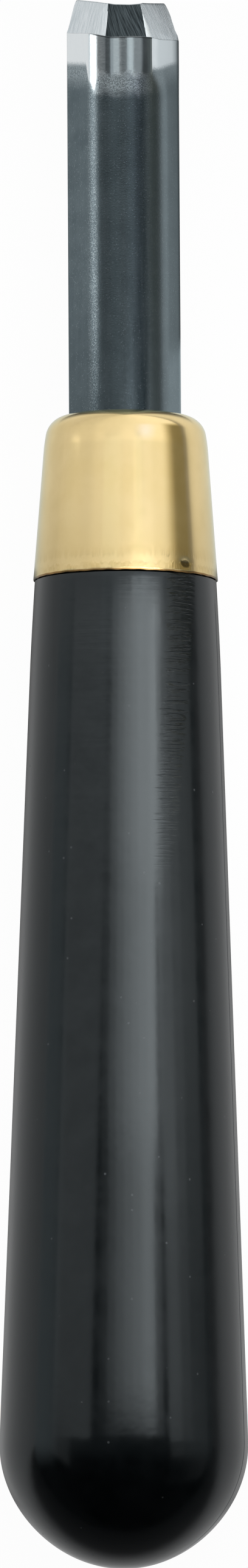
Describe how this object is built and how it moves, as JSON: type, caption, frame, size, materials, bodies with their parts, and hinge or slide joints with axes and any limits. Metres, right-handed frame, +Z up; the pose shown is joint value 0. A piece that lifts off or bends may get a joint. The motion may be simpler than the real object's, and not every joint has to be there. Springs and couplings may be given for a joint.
{
  "type": "lino cutting gouge",
  "caption": "Hand gouge for lino: pressed steel channel blade with a ground tip, drawn brass ferrule and a tapered round-butted plastic handle.",
  "frame": {"origin": "on the table under the tool, midway along its length", "axes": "+Y along the tool towards the cutting edge, +Z up, +X to the right seen from the butt; the tool lies on the side of its tapered grip with the crown of the blade upwards"},
  "size_m": [0.0204, 0.1294, 0.0203],
  "materials": {
    "handle": "black moulded plastic, glossy",
    "ferrule": "drawn brass, satin polish",
    "blade": "hardened steel, dark blued shank with a bright ground tip"
  },
  "bodies": {
    "root": {"handle": "handle", "ferrule": "ferrule", "blade": "blade"}
  },
  "joints": []
}
